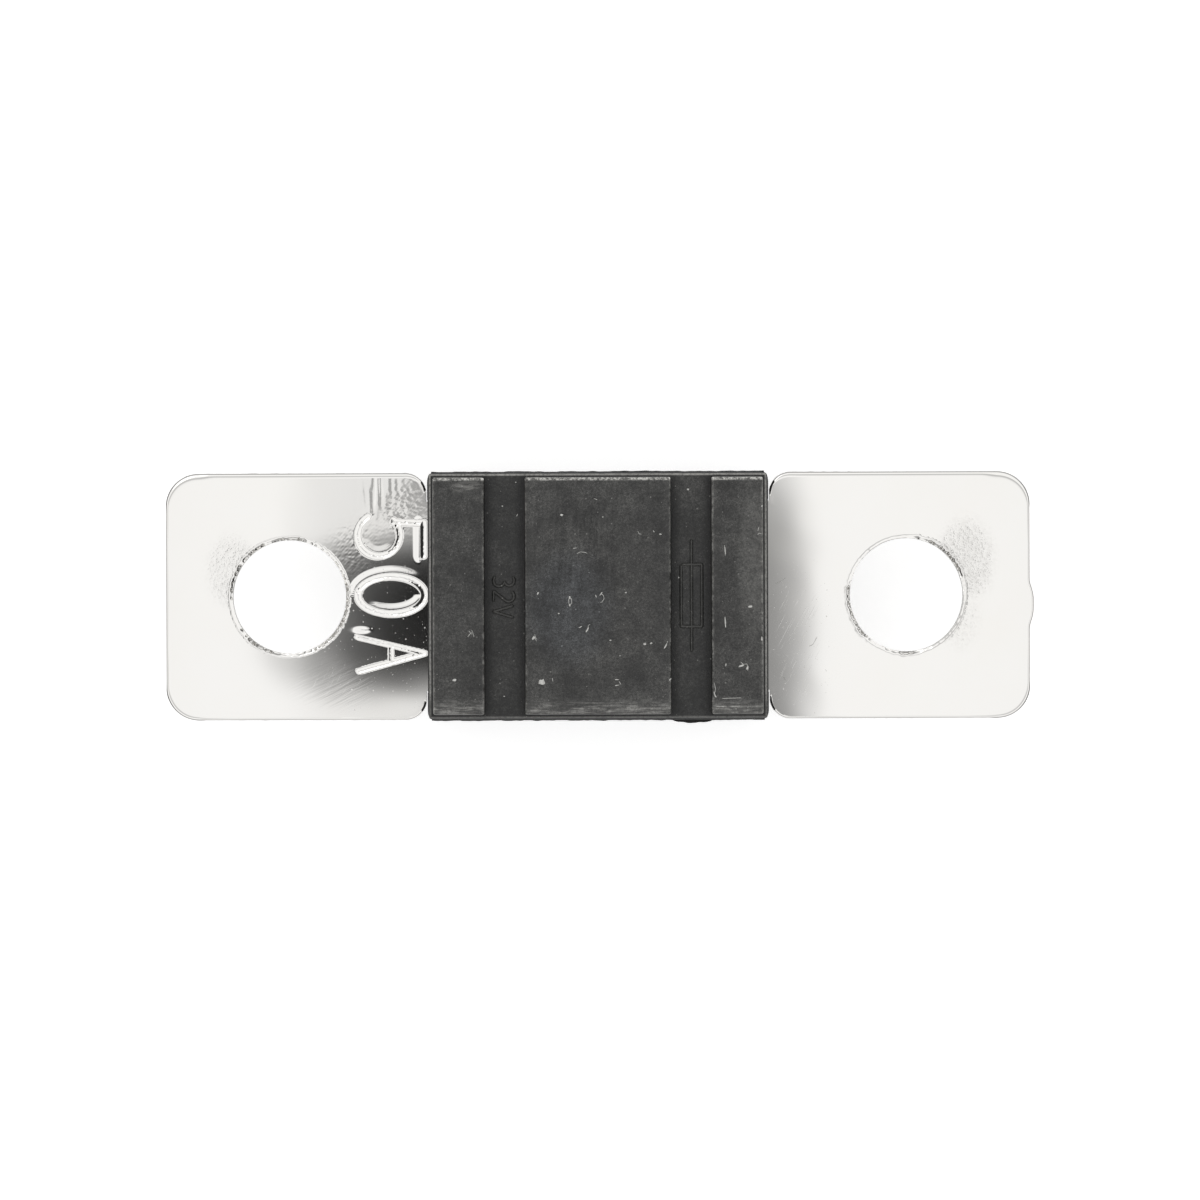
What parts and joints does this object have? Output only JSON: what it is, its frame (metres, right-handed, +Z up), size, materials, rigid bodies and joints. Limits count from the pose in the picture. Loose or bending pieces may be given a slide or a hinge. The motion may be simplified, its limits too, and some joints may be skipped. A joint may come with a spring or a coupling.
{
  "type": "bolt down strip fuse",
  "caption": "Strip fuse: a stamped, bright plated strip with a bolt hole in each rounded terminal, clamped across its fusible link by a black moulded housing with raised pads.",
  "frame": {"origin": "midway between the two bolt holes, on the underside of the strip, which seats on the stud blocks", "axes": "+X along the strip, +Y across it, +Z up out of the studs, along the bolt holes"},
  "size_m": [0.0422, 0.012, 0.008],
  "materials": {
    "plated_metal": "bright plated sheet, almost a mirror, with rolled-over and sheared edges",
    "black_plastic": "moulded black plastic, satin, with a fine texture and light scuffs"
  },
  "bodies": {
    "root": {"fuse_strip": "plated_metal", "upper_shell": "black_plastic", "lower_shell": "black_plastic"}
  },
  "joints": []
}
